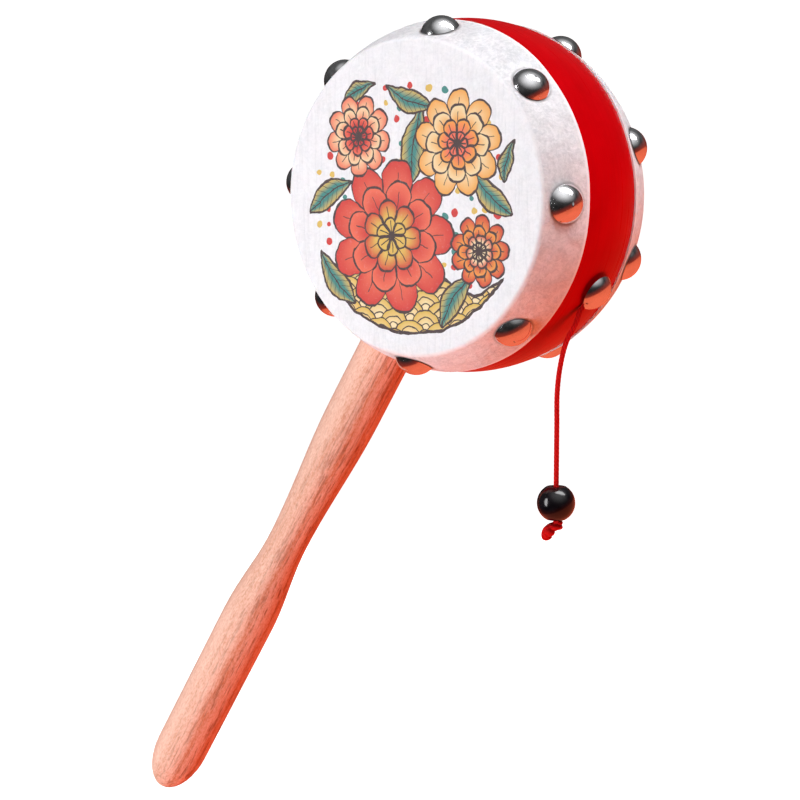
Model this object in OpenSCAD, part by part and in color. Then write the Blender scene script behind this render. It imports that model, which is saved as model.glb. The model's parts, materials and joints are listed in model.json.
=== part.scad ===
// Pellet drum rattle: a small two-headed drum on a turned handle, with a bead on a cord at each side.
// Millimetres, +Z up. The rattle is held at its grip and leans, so that its cords hang plumb.
// The drum's axis runs along Y: the front head faces -Y and the rear head faces +Y.

/* [Pose] */
// Lean of the handle from plumb, butt end to the left
handle_lean = 32; // [20:1:45]

/* [Drum] */
// Largest diameter of the red band, and of the ball that the shell is a slice of
drum_d = 94; // [84:1:110]
// Width of the wooden shell between its two rims
shell_w = 48; // [40:1:54]
// Thickness of the shell's wall at the middle of the band
shell_wall = 12; // [11:0.5:15]
// Rounding of the shell's rims
rim_round = 2; // [1:0.5:3]

/* [Heads] */
// Thickness of the skin
skin_t = 0.5; // [0.4:0.1:0.8]
// Width of a skin's skirt, from the shell's rim to the bare red band
skirt_w = 12.8; // [11:0.1:14]

/* [Handle] */
// Diameter of the handle where it enters the drum
neck_d = 15.4; // [13:0.1:17]
// Diameter of the waist
waist_d = 11.6; // [9:0.1:13]
// Diameter of the grip
grip_d = 16; // [14:0.1:18]
// Length of the handle below the drum
handle_len = 171.5; // [165:0.5:190]
// Where the neck starts to narrow, below the drum
neck_len = 25; // [15:1:35]
// Where the waist is slimmest, below the drum
waist_at = 72; // [62:1:80]
// Where the straight grip begins, below the drum
grip_from = 103; // [98:1:108]
// Length of the rounded butt end
butt_len = 16; // [10:1:20]
// Middle of the grip below the drum, the origin of the part
grip_at = 129; // [125:1:133]
// Diameter of the spigot that crosses the drum
spigot_d = 8; // [6:0.5:10]
// Depth of the blind socket in the far side of the shell
socket_depth = 6; // [4:0.5:8]

/* [Tacks] */
// Diameter of a tack's head
tack_head_d = 10; // [8:0.5:11]
// Height of a tack's domed head
tack_dome_h = 3; // [2:0.1:4]
// Metal thickness of a tack's head
tack_wall = 0.5; // [0.3:0.1:0.8]
// Diameter of a tack's shank
tack_shank_d = 1.5; // [1.2:0.1:2]
// Depth that a rim tack's shank reaches below the skin
tack_depth = 8; // [5:0.5:8]
// Depth that a cord tack's shank reaches into the band
anchor_depth = 10; // [6:0.5:11]
// Distance of a tack row from the shell's rim
tack_inset = 6; // [5:0.5:7]
// Tacks around each head
tack_count = 8; // [6:1:8]
// Angle of the first front tack from the handle
front_first_angle = 28; // [20:1:40]
// Angle of the first rear tack from the handle
rear_first_angle = 6; // [0:1:15]
// Angle of the two cord tacks from the handle
anchor_angle = 92; // [88:1:95]

/* [Cords] */
// Diameter of the cord
cord_d = 1.4; // [1.2:0.1:1.6]
// Thickness of the cord where a tack pinches it flat
pinched_t = 0.7; // [0.6:0.1:0.9]
// Width of the cord there
pinched_w = 2.2; // [1.8:0.1:2.6]

/* [Beads] */
// Diameter of a bead
bead_d = 10; // [9:0.5:11]
// Height of a bead between its two flats
bead_h = 8.6; // [7:0.1:9]
// Bore of a bead
bead_bore_d = 2.2; // [2:0.1:2.6]
// Height of the knot under a bead
knot_h = 3.6; // [3:0.1:4.5]
// Diameter of the knot
knot_d = 4.4; // [3.5:0.1:5]

/* [Hidden] */
$fn = 96;

// Clearance of a wooden fit, and of a tack in its hole
fit_gap = 0.05;
// Clearance between pieces that move on each other
run_gap = 0.3;
// Clearance of the pinched cord above the band and below its tack
pinch_gap = 0.15;
// How far a cut runs past what it cuts
overrun = 1;
// Steps along each curved stretch of the handle
curve_steps = 10;

ball_r = drum_d / 2;
skin_r = ball_r + skin_t;
half_w = shell_w / 2;
band_w = shell_w - 2 * skirt_w;
bore_r = ball_r - shell_wall;
flat_r = sqrt(pow(ball_r - rim_round, 2) - pow(half_w - rim_round, 2));
rim_angle = atan2(half_w - rim_round, flat_r);

// Places along the handle, measured down from the drum's centre
neck_end = ball_r + neck_len;
waist_end = ball_r + waist_at;
grip_start = ball_r + grip_from;
butt_end = ball_r + handle_len;
butt_start = butt_end - butt_len;
grip_middle = ball_r + grip_at;
shoulder_at = bore_r - rim_round;
drum_centre = [grip_middle * sin(handle_lean), 0, grip_middle * cos(handle_lean)];

// Tacks are driven by hand, so each strays a little from its even place, in degrees
front_stray_angles = [-1, -1, 3, 0, -2, 1, -1, 0];
rear_stray_angles = [1, 3, 3, -1, -1, 2, -1, 1];
tack_tilt = asin((half_w - tack_inset) / skin_r);
tack_r = tack_head_d / 2;
dome_r = (tack_r * tack_r + tack_dome_h * tack_dome_h) / (2 * tack_dome_h);
shank_r = tack_shank_d / 2;
// Length of a shank's point
tack_point = 3;

// The pinched cord lies flat on the band, and its tack's head closes over it
pinch_z = ball_r + pinch_gap;
anchor_rim_z = pinch_z + pinched_t + pinch_gap;
cord_r = cord_d / 2;
eye_in_r = shank_r + pinch_gap;
eye_out_r = eye_in_r + pinched_w;

// Routes of the two cords, measured from the drum's centre along the part's own axes.
// The first point is where the cord leaves its tack, and the last is the middle of its bead.
// They are laid on a ball of this radius, and move out as one when the drum is larger.
laid_r = 47;
right_spread_shares = [0.87, 0, -0.5];
left_spread_shares = [-1, 0, 0.35];
right_route = spread([
    [38.5, -3, -28.5], [38, -4, -31.5], [36, -5.5, -36.5], [34.5, -6, -43],
    [34, -6.5, -50], [34, -6.5, -58], [34, -6.5, -66], [34, -6.5, -78.5]
], right_spread_shares);
left_route = spread([
    [-42.5, 3, 22], [-44, 4.5, 19.5], [-45.5, 7.5, 14.5], [-46.5, 10, 9.5],
    [-47, 12.5, 4.5], [-46.5, 14.5, 0], [-46.5, 14.5, -3], [-46.5, 14.5, -25.5]
], left_spread_shares);
// The places in a route where the cord's stretches meet
neck_joint = 1;
knee_joint = 6;
bead_place = 7;
// Gap that a stretch keeps from the middle of the rounded end before it, so that it can fold
fold_gap = 1;
// Rings that a cord has to each span of its route
ring_steps = 2;
cord_sides = 8;
// Radius of the rings that round off a cord's end, and how far each lies past the last full ring
end_radius_shares = [0.9, 0.45];
end_reach_shares = [0.5, 0.95];
// The knot's outline, as shares of its radius and of its height
knot_outline_shares = [
    [0.5, 0], [0.9, 0.12], [1, 0.3], [0.8, 0.46], [0.84, 0.54], [0.98, 0.7], [0.86, 0.9], [0.5, 1]
];
// The tail's bend below the knot
tail_len = 3.2;
tail_shift = 1.6;

function spread(points, shares) = [for (p = points) p + (ball_r - laid_r) * shares];

// Places the drum and its handle, whose own axes have the handle along -Z
module in_drum_frame() {
    translate(drum_centre) rotate([0, handle_lean, 0]) children();
}

// Turns +Z outwards from the drum's centre: around is the angle from the handle, tilt the angle to the rear
module facing_out(around, tilt) {
    rotate([0, 180 - around, 0]) rotate([-tilt, 0, 0]) children();
}

// Half outline of the closed drum, as a slice of a ball with rounded rims
module drum_outline(grow) {
    translate([0, -half_w - grow]) square([flat_r, 2 * (half_w + grow)]);
    for (side = [-1, 1])
        translate([flat_r, side * (half_w - rim_round)]) circle(rim_round + grow);
    intersection() {
        circle(ball_r + grow);
        polygon([
            [0, 0],
            [drum_d * cos(rim_angle), -drum_d * sin(rim_angle)],
            [drum_d * cos(rim_angle), drum_d * sin(rim_angle)]
        ]);
    }
}

module rim_tack_places(first, strays, side) {
    for (i = [0 : tack_count - 1])
        facing_out(first + i * 360 / tack_count + strays[i], side * tack_tilt) children();
}

module shank_hole(outer_z, depth) {
    translate([0, 0, outer_z - depth - fit_gap])
        cylinder(r = shank_r + fit_gap, h = depth + fit_gap + overrun);
}

module shell() {
    color([0.78, 0.02, 0.04]) in_drum_frame() difference() {
        rotate([-90, 0, 0]) rotate_extrude() difference() {
            drum_outline(0);
            translate([0, -half_w - overrun]) square([bore_r, shell_w + 2 * overrun]);
        }
        translate([0, 0, -ball_r - overrun]) cylinder(d = neck_d + 2 * fit_gap, h = ball_r);
        cylinder(d = spigot_d + 2 * fit_gap, h = bore_r + socket_depth);
        rim_tack_places(front_first_angle, front_stray_angles, -1) shank_hole(ball_r, tack_depth);
        rim_tack_places(rear_first_angle, rear_stray_angles, 1) shank_hole(ball_r, tack_depth);
        for (side = [-1, 1])
            facing_out(side * anchor_angle, 0) shank_hole(ball_r, anchor_depth);
    }
}

// A skin stretched over the rim and down the shell's side, as far as the bare band
module head(side, first, strays) {
    color([0.95, 0.93, 0.96]) in_drum_frame() difference() {
        rotate([-90 * side, 0, 0]) rotate_extrude() difference() {
            drum_outline(skin_t);
            drum_outline(0);
            translate([0, -drum_d]) square([drum_d, drum_d + band_w / 2]);
        }
        rim_tack_places(first, strays, side) shank_hole(skin_r, tack_depth);
    }
}

function ease(share) = (1 - cos(180 * share)) / 2;

// The handle's outline between two of its widths, with no corner at either end
function eased(from_z, to_z, from_d, to_d) = [
    for (i = [0 : curve_steps])
        let (share = i / curve_steps)
        [(from_d + (to_d - from_d) * ease(share)) / 2, -from_z - (to_z - from_z) * share]
];

function butt_curve() = [
    for (i = [1 : curve_steps])
        let (turn = 90 * i / curve_steps)
        [grip_d / 2 * cos(turn), -butt_start - butt_len * sin(turn)]
];

module handle() {
    color([0.87, 0.55, 0.38]) in_drum_frame() rotate_extrude() polygon(concat(
        [
            [0, bore_r + socket_depth - fit_gap],
            [spigot_d / 2, bore_r + socket_depth - fit_gap],
            [spigot_d / 2, -shoulder_at],
            [neck_d / 2, -shoulder_at]
        ],
        eased(neck_end, waist_end, neck_d, waist_d),
        [for (i = [1 : curve_steps]) eased(waist_end, grip_start, waist_d, grip_d)[i]],
        [[grip_d / 2, -butt_start]],
        butt_curve()
    ));
}

// A nail with a hollow domed head, driven towards the drum's centre; rim_z is where its rim seats
module tack(rim_z, tip_z) {
    dome_z = rim_z + tack_dome_h - dome_r;
    root_r = dome_r - tack_wall / 2;
    rotate_extrude() {
        intersection() {
            difference() {
                translate([0, dome_z]) circle(dome_r);
                translate([0, dome_z]) circle(dome_r - tack_wall);
            }
            translate([0, rim_z]) square([tack_head_d, tack_head_d]);
        }
        polygon([
            [0, tip_z],
            [shank_r, tip_z + tack_point],
            [shank_r, dome_z + sqrt(pow(root_r, 2) - pow(shank_r, 2))],
            [0, dome_z + root_r]
        ]);
    }
}

module rim_tacks(side, first, strays) {
    color([0.8, 0.8, 0.82]) in_drum_frame() rim_tack_places(first, strays, side)
        tack(sqrt(pow(skin_r, 2) - pow(tack_r - tack_wall, 2)), ball_r - tack_depth);
}

module cord_tack(side) {
    color([0.8, 0.8, 0.82]) in_drum_frame() facing_out(side * anchor_angle, 0)
        tack(anchor_rim_z, ball_r - anchor_depth);
}

// Where a cord leaves its tack, in the tack's own axes: [distance along the band, distance to the rear]
function exit_place(side, route) =
    let (around = anchor_angle - side * handle_lean, start = route[0])
    [-start[0] * side * cos(around) - start[2] * sin(around), start[1]];

// The end of the cord, pinched flat round the tack's shank and out under its head
module cord_eye(side, route) {
    place = exit_place(side, route);
    reach = norm(place);
    color([0.75, 0.05, 0.05]) {
        in_drum_frame() facing_out(side * anchor_angle, 0) translate([0, 0, pinch_z])
            linear_extrude(pinched_t) rotate(atan2(place[1], side * place[0])) {
                difference() {
                    circle(eye_out_r);
                    circle(eye_in_r);
                }
                translate([eye_in_r + cord_r, -pinched_w / 2])
                    square([reach - eye_in_r - cord_r, pinched_w]);
            }
        translate(drum_centre + route[0]) rotate([0, 90, 0]) sphere(cord_r);
    }
}

// A smooth curve through the points of a route
function between(a, b, c, d, t) =
    b + (c - a) * t / 2 + (2 * a - 5 * b + 4 * c - d) * t * t / 2 + (3 * b - a - 3 * c + d) * t * t * t / 2;

function curve(points) = [
    for (i = [0 : len(points) - 2], k = [0 : ring_steps - 1])
        between(points[max(i - 1, 0)], points[i], points[i + 1],
                points[min(i + 2, len(points) - 1)], k / ring_steps),
    points[len(points) - 1]
];

function unit(v) = v / norm(v);

// Starts a stretch clear of the hinge before it
function held_back(points, gap) = [
    points[0] + gap * unit(points[1] - points[0]),
    for (i = [1 : len(points) - 1]) points[i]
];

function ring(centre, along, radius, side_ref) =
    let (u = unit(cross(along, side_ref)), v = cross(unit(along), u))
    [for (i = [0 : cord_sides - 1])
        centre + radius * (u * cos(360 * i / cord_sides) + v * sin(360 * i / cord_sides))];

// A closed tube through its rings, each given as [centre, direction, radius]
module tube(rings, side_ref) {
    count = len(rings);
    points = [for (r = rings) each ring(r[0], r[1], r[2], side_ref)];
    walls = [
        for (k = [0 : count - 2], i = [0 : cord_sides - 1])
            let (a = k * cord_sides + i, b = k * cord_sides + (i + 1) % cord_sides)
            each [[a, a + cord_sides, b], [b, a + cord_sides, b + cord_sides]]
    ];
    first_end = [for (i = [0 : cord_sides - 1]) i];
    last_end = [for (i = [cord_sides - 1 : -1 : 0]) (count - 1) * cord_sides + i];
    polyhedron(points, concat([first_end], walls, [last_end]));
}

// Rings along a curve, with the last end rounded off where the next stretch hinges on it
function cord_rings(points, rounded) =
    let (
        last = len(points) - 1,
        way = unit(points[last] - points[last - 1])
    )
    concat(
        [for (i = [0 : last])
            [points[i], unit(points[min(i + 1, last)] - points[max(i - 1, 0)]), cord_r]],
        rounded
            ? [for (k = [0 : len(end_radius_shares) - 1])
                [points[last] + way * cord_r * end_reach_shares[k], way, cord_r * end_radius_shares[k]]]
            : []
    );

module cord_stretch(points, rounded, side_ref) {
    color([0.75, 0.05, 0.05]) translate(drum_centre) tube(cord_rings(points, rounded), side_ref);
}

function part_of(route, from, to) = [for (i = [from : to]) route[i]];

module cord_neck(route) {
    cord_stretch(held_back(part_of(route, 0, neck_joint), fold_gap), true, [1, 0, 0]);
}

module cord_upper(route) {
    cord_stretch(held_back(curve(part_of(route, neck_joint, knee_joint)), fold_gap), true, [1, 0, 0]);
}

// The last stretch hangs plumb through the bead to its knot
module cord_lower(route) {
    start = route[knee_joint] - [0, 0, fold_gap];
    bead_top = route[bead_place] + [0, 0, bead_h / 2];
    cord_stretch([start, bead_top, route[bead_place], knot_top(route)], false, [1, 0, 0]);
}

function knot_top(route) = route[bead_place] - [0, 0, bead_h / 2 + run_gap];

module bead(route) {
    color([0.03, 0.03, 0.035]) translate(drum_centre + route[bead_place]) rotate_extrude() difference() {
        intersection() {
            circle(d = bead_d);
            translate([0, -bead_h / 2]) square([bead_d, bead_h]);
        }
        translate([0, -bead_h]) square([bead_bore_d / 2, 2 * bead_h]);
    }
}

module knot(route, side) {
    top = knot_top(route);
    low = top - [0, 0, knot_h];
    color([0.75, 0.05, 0.05]) {
        translate(drum_centre + low) rotate_extrude() polygon(concat(
            [[0, 0]],
            [for (share = knot_outline_shares) [share[0] * knot_d / 2, share[1] * knot_h]],
            [[0, knot_h]]
        ));
        translate(drum_centre) tube(
            cord_rings([
                low + [0, 0, cord_r],
                low - [0, 0, cord_r],
                low - [side * tail_shift, 0, tail_len]
            ], true),
            [0, 1, 0]
        );
    }
}

handle();
shell();
head(-1, front_first_angle, front_stray_angles);  // front_head
head(1, rear_first_angle, rear_stray_angles);  // rear_head
rim_tacks(-1, front_first_angle, front_stray_angles);  // front_tacks
rim_tacks(1, rear_first_angle, rear_stray_angles);  // rear_tacks
cord_tack(1);  // right_cord_tack
cord_tack(-1);  // left_cord_tack
cord_eye(1, right_route);  // right_cord_eye
cord_neck(right_route);  // right_cord_neck
cord_upper(right_route);  // right_cord_upper
cord_lower(right_route);  // right_cord_lower
knot(right_route, 1);  // right_knot
bead(right_route);  // right_bead
cord_eye(-1, left_route);  // left_cord_eye
cord_neck(left_route);  // left_cord_neck
cord_upper(left_route);  // left_cord_upper
cord_lower(left_route);  // left_cord_lower
knot(left_route, -1);  // left_knot
bead(left_route);  // left_bead
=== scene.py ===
"""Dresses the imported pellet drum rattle: skins, cords and knots, every finish, and the studio round it."""

import json
import math

import bmesh
import bpy
from bpy.props import FloatProperty, FloatVectorProperty, IntProperty, PointerProperty
from mathutils import Matrix, Vector, noise


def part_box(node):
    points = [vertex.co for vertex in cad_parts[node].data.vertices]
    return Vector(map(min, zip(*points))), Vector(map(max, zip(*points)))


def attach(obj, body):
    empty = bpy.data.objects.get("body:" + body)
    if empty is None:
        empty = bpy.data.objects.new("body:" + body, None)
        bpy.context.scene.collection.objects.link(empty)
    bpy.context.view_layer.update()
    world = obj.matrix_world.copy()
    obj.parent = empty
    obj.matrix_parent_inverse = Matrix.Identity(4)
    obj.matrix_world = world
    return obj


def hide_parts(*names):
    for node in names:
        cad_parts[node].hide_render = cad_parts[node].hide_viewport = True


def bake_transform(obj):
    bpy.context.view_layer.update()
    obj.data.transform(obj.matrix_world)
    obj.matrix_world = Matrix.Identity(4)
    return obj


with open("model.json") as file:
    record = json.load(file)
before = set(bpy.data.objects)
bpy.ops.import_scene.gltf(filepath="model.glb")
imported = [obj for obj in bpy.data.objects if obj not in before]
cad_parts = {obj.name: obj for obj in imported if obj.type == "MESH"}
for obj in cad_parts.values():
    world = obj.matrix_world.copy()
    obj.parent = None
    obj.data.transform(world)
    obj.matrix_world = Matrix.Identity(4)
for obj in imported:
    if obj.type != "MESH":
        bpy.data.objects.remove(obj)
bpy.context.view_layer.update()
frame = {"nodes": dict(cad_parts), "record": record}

bl_info = {
    "name": "Pellet drum rattle",
    "version": (1, 0, 0),
    "blender": (4, 5, 0),
    "location": "View3D > Sidebar > Rattle",
    "description": "Skins, cords, knots, finishes and studio for a pellet drum rattle",
    "category": "Object",
}

MM = 0.001
# Radius of a nail's head
NAIL_R = 5 * MM
# Points nearer to each other than this are one
SAME_PLACE = 0.001 * MM

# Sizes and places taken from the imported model
SHELL_LOW, SHELL_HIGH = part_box("shell")
HEAD_LOW, HEAD_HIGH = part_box("front_head")
CENTRE = (SHELL_LOW + SHELL_HIGH) / 2
BALL_R = (SHELL_HIGH.x - SHELL_LOW.x) / 2
HALF_W = (SHELL_HIGH.y - SHELL_LOW.y) / 2
SKIN_T = SHELL_LOW.y - HEAD_LOW.y
BAND_HALF = CENTRE.y - HEAD_HIGH.y
GRIP_AXIS = Vector(next(m["axis"] for m in frame["record"]["mounts"] if m["name"] == "grip"))
LEAN = math.atan2(-GRIP_AXIS.x, -GRIP_AXIS.z)

# Routes of the two cords from the drum's centre: they leave their tacks at the first point,
# the second and the seventh mark the neck and the knee, and the last is the middle of the bead
RIGHT_ROUTE = [
    (0.0385, -0.003, -0.0285), (0.038, -0.004, -0.0315), (0.036, -0.0055, -0.0365),
    (0.0345, -0.006, -0.043), (0.034, -0.0065, -0.05), (0.034, -0.0065, -0.058),
    (0.034, -0.0065, -0.066), (0.034, -0.0065, -0.0785),
]
LEFT_ROUTE = [
    (-0.0425, 0.003, 0.022), (-0.044, 0.0045, 0.0195), (-0.0455, 0.0075, 0.0145),
    (-0.0465, 0.01, 0.0095), (-0.047, 0.0125, 0.0045), (-0.0465, 0.0145, 0.0),
    (-0.0465, 0.0145, -0.003), (-0.0465, 0.0145, -0.0255),
]
ROUTES = {"right": RIGHT_ROUTE, "left": LEFT_ROUTE}
# Along x, the way in which the tail of each knot points
TAIL_SIDES = {"right": -1, "left": 1}
NECK_JOINT = 1
KNEE_JOINT = 6


class SkinSettings(bpy.types.PropertyGroup):
    """The two stretched skins."""

    segments: IntProperty(name="Segments", description="Faces round a skin", default=288, min=96)
    rim_round: FloatProperty(
        name="Rim rounding", description="Radius of the rim under the skin", default=0.8 * MM, unit="LENGTH")
    dent: FloatProperty(
        name="Dent", description="How far a nail presses the skin in", default=0.22 * MM, unit="LENGTH")
    dent_reach: FloatProperty(
        name="Dent reach", description="Width of the dent round a head", default=2.4 * MM, unit="LENGTH")
    pull: FloatProperty(
        name="Pull", description="How far the skin lifts between two nails", default=0.07 * MM, unit="LENGTH")
    wander: FloatProperty(
        name="Cut wander", description="How far the hand-cut edge strays", default=0.35 * MM, unit="LENGTH")
    cuts: IntProperty(name="Cuts", description="Straight snips round the cut edge", default=19, min=3)
    curl: FloatProperty(
        name="Curl", description="How far the cut edge lifts off the band", default=0.04 * MM, unit="LENGTH")
    light: FloatVectorProperty(
        name="Light", description="Colour of the clean skin", default=(0.9, 0.87, 0.905), subtype="COLOR")
    shade: FloatVectorProperty(
        name="Shade", description="Colour of the skin's denser patches", default=(0.66, 0.645, 0.68),
        subtype="COLOR")
    # Painted shade: the dark colour painted in a thin ring round each nail's head, standing for its contact
    # shadow
    grime: FloatVectorProperty(
        name="Nail_shade", description="Colour close round the nails", default=(0.2, 0.17, 0.18), subtype="COLOR")


class PrintSettings(bpy.types.PropertyGroup):
    """Inks of the flower print on the front skin."""

    line: FloatVectorProperty(
        name="Line", description="Dark outline ink", default=(0.055, 0.03, 0.032), subtype="COLOR")
    red: FloatVectorProperty(
        name="Red", description="Petal red", default=(0.62, 0.035, 0.03), subtype="COLOR")
    coral: FloatVectorProperty(
        name="Coral", description="Inner petal coral", default=(0.83, 0.16, 0.09), subtype="COLOR")
    orange: FloatVectorProperty(
        name="Orange", description="Petal orange", default=(0.86, 0.36, 0.06), subtype="COLOR")
    gold: FloatVectorProperty(
        name="Gold", description="Gold of clouds and stamens", default=(0.72, 0.47, 0.1), subtype="COLOR")
    cream: FloatVectorProperty(
        name="Cream", description="Pale cream of the clouds", default=(0.88, 0.7, 0.42), subtype="COLOR")
    teal: FloatVectorProperty(
        name="Teal", description="Leaf teal", default=(0.05, 0.24, 0.22), subtype="COLOR")


class CordSettings(bpy.types.PropertyGroup):
    """The red plied cords and their knots."""

    diameter: FloatProperty(name="Diameter", description="Cord diameter", default=1.4 * MM, unit="LENGTH")
    groove: FloatProperty(
        name="Groove", description="Depth of the grooves between plies", default=0.09 * MM, unit="LENGTH")
    plies: IntProperty(name="Plies", description="Strands laid together", default=4, min=2, max=6)
    lay: FloatProperty(
        name="Lay", description="Length of one turn of the plies", default=4.4 * MM, unit="LENGTH")
    pinched_width: FloatProperty(
        name="Pinched width", description="Width under the nail", default=2.2 * MM, unit="LENGTH")
    pinched_height: FloatProperty(
        name="Pinched height", description="Thickness under the nail", default=0.7 * MM, unit="LENGTH")
    colour: FloatVectorProperty(
        name="Colour", description="Cord red", default=(0.62, 0.006, 0.006), subtype="COLOR")
    # Painted shade: the darker red painted into the grooves between the plies
    valley: FloatVectorProperty(
        name="Groove colour", description="Red in the grooves", default=(0.4, 0.002, 0.003), subtype="COLOR")


class FinishSettings(bpy.types.PropertyGroup):
    """Colours of the hard pieces."""

    wood_light: FloatVectorProperty(
        name="Pale wood", description="Early wood", default=(0.96, 0.61, 0.5), subtype="COLOR")
    wood_dark: FloatVectorProperty(
        name="Dark wood", description="Late wood lines", default=(0.6, 0.19, 0.09), subtype="COLOR")
    wood_pore: FloatVectorProperty(
        name="Pores", description="Fine pores along the grain", default=(0.27, 0.09, 0.045), subtype="COLOR")
    ring_gap: FloatProperty(
        name="Ring gap", description="Distance between growth rings", default=2.3 * MM, unit="LENGTH")
    lacquer: FloatVectorProperty(
        name="Lacquer", description="Red of the band", default=(0.59, 0.0, 0.003), subtype="COLOR")
    lacquer_deep: FloatVectorProperty(
        name="Deep lacquer", description="Red where the coat is thick", default=(0.5, 0.0, 0.002),
        subtype="COLOR")
    metal: FloatVectorProperty(
        name="Plating", description="Plated nails", default=(0.86, 0.86, 0.88), subtype="COLOR")
    bead: FloatVectorProperty(
        name="Bead", description="Black bead", default=(0.003, 0.002, 0.003), subtype="COLOR")


class StudioSettings(bpy.types.PropertyGroup):
    """Camera, floor and lamps."""

    camera_place: FloatVectorProperty(
        name="Camera", description="Camera from the drum's centre", default=(0.31339, -0.43708, 0.01397),
        subtype="TRANSLATION")
    camera_turn: FloatProperty(
        name="Turn", description="Camera's azimuth", default=math.radians(37.506), subtype="ANGLE")
    camera_height: FloatProperty(
        name="Look down", description="Angle above level", default=math.radians(7.3), subtype="ANGLE")
    lens: FloatProperty(name="Lens", description="Focal length in millimetres", default=90.0)
    floor_depth: FloatProperty(
        name="Floor", description="Depth of the floor below the grip", default=0.16, unit="LENGTH")
    main_power: FloatProperty(
        name="Main lamp", description="Power of the broad lamp in front", default=7.9, unit="POWER")
    side_power: FloatProperty(
        name="Side lamp", description="Power of the fill at the upper right", default=0.95, unit="POWER")
    top_power: FloatProperty(
        name="Top lamp", description="Power of the wide lamp overhead", default=6.3, unit="POWER")
    strip_power: FloatProperty(
        name="Strip lamp", description="Power of the tall lamp at the left", default=5.0, unit="POWER")
    warm_power: FloatProperty(
        name="Warm lamp", description="Power of the warm bounce from below", default=4.8, unit="POWER")
    back_power: FloatProperty(
        name="Back lamp", description="Power of the back fill", default=4.2, unit="POWER")
    warm: FloatVectorProperty(
        name="Warm", description="Colour of the bounce", default=(1.0, 0.18, 0.075), subtype="COLOR")
    backdrop: FloatVectorProperty(
        name="Backdrop", description="Mirrored backdrop", default=(1.0, 0.17, 0.08), subtype="COLOR")
    backdrop_edge: FloatVectorProperty(
        name="Backdrop edge", description="Its darker red", default=(0.42, 0.035, 0.015), subtype="COLOR")
    backdrop_way: FloatVectorProperty(
        name="Backdrop way", description="Direction of the backdrop's middle", default=(0.15, 0.477, -0.866),
        subtype="DIRECTION")
    glow: FloatProperty(name="Glow", description="Brightness of the mirrored glow overhead", default=1.05)
    glow_way: FloatVectorProperty(
        name="Glow way", description="Direction of the glow's middle", default=(0.422, -0.269, 0.866),
        subtype="DIRECTION")


# Building meshes

def deselect_all():
    for o in bpy.context.selected_objects:
        o.select_set(False)


def pick(obj):
    deselect_all()
    bpy.context.view_layer.objects.active = obj
    obj.select_set(True)


def edit_rim(obj):
    """Opens a flat sheet for editing, with its rim selected."""
    pick(obj)
    bpy.ops.object.mode_set(mode="EDIT")
    bpy.ops.mesh.select_all(action="DESELECT")
    bpy.ops.mesh.select_mode(type="EDGE")
    bpy.ops.mesh.select_non_manifold()


def end_edit():
    bpy.ops.object.mode_set(mode="OBJECT")


def settle(obj):
    """Puts an object's place, turn and size into its mesh, so that the object lies at the origin."""
    pick(obj)
    bpy.ops.object.transform_apply(location=True, rotation=True, scale=True)
    return obj


def apply_modifier(obj, kind, **values):
    modifier = obj.modifiers.new(kind.title(), kind)
    for name, value in values.items():
        setattr(modifier, name, value)
    bpy.context.view_layer.objects.active = obj
    bpy.ops.object.modifier_apply(modifier=modifier.name)


def smooth(obj, angle):
    pick(obj)
    bpy.ops.object.shade_smooth_by_angle(angle=math.radians(angle))


def paint(obj, material):
    obj.data.materials.clear()
    obj.data.materials.append(material)


def wear(obj, material):
    """Gives a piece its finish."""
    paint(obj, material)


def nail_directions(node):
    """Unit vectors from the drum's centre to each nail of a node, found from its loose solids."""
    mesh = bmesh.new()
    mesh.from_mesh(frame["nodes"][node].data)
    bmesh.ops.remove_doubles(mesh, verts=mesh.verts, dist=SAME_PLACE)
    left = set(mesh.verts)
    found = []
    while left:
        group = {left.pop()}
        edge = list(group)
        while edge:
            near = {e.other_vert(v) for v in edge for e in v.link_edges} - group
            group |= near
            edge = list(near)
        left -= group
        middle = sum((v.co for v in group), Vector()) / len(group)
        found.append((middle - CENTRE).normalized())
    mesh.free()
    return found


# Skins

# Widths over which the skin's shaping fades in below the rim and out above the cut edge
RIM_FADE = 3 * MM
CUT_FADE = 2.5 * MM
# Where the noise is read: so far apart for two corners of the cut edge, and for the two skins
CORNER_STEP = 7.3
SIDE_STEP = 11.7


def held(share):
    """The share, held between 0 and 1."""
    return min(1.0, max(0.0, share))


def eased(share):
    """The share, held between 0 and 1 and eased at both ends."""
    share = held(share)
    return share * share * (3 - 2 * share)


def skin_outline(settings):
    """Outer outline of a skin, as (radius, distance from the drum's middle), from face to cut edge."""
    rim = settings.rim_round
    flat_r = math.sqrt((BALL_R - rim) ** 2 - (HALF_W - rim) ** 2)
    rim_angle = math.atan2(HALF_W - rim, flat_r)
    skin_r = BALL_R + SKIN_T
    cut_angle = math.asin(BAND_HALF / skin_r)
    face_steps = 14
    rim_steps = 6
    skirt_steps = 22
    face = [(flat_r * k / face_steps, HALF_W + SKIN_T) for k in range(1, face_steps + 1)]
    corner = []
    for k in range(1, rim_steps + 1):
        turn = math.pi / 2 + (rim_angle - math.pi / 2) * k / rim_steps
        reach = rim + SKIN_T
        corner.append((flat_r + reach * math.cos(turn), HALF_W - rim + reach * math.sin(turn)))
    skirt = []
    for k in range(1, skirt_steps + 1):
        turn = rim_angle + (cut_angle - rim_angle) * k / skirt_steps
        skirt.append((skin_r * math.cos(turn), skin_r * math.sin(turn)))
    return face + corner + skirt


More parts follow.
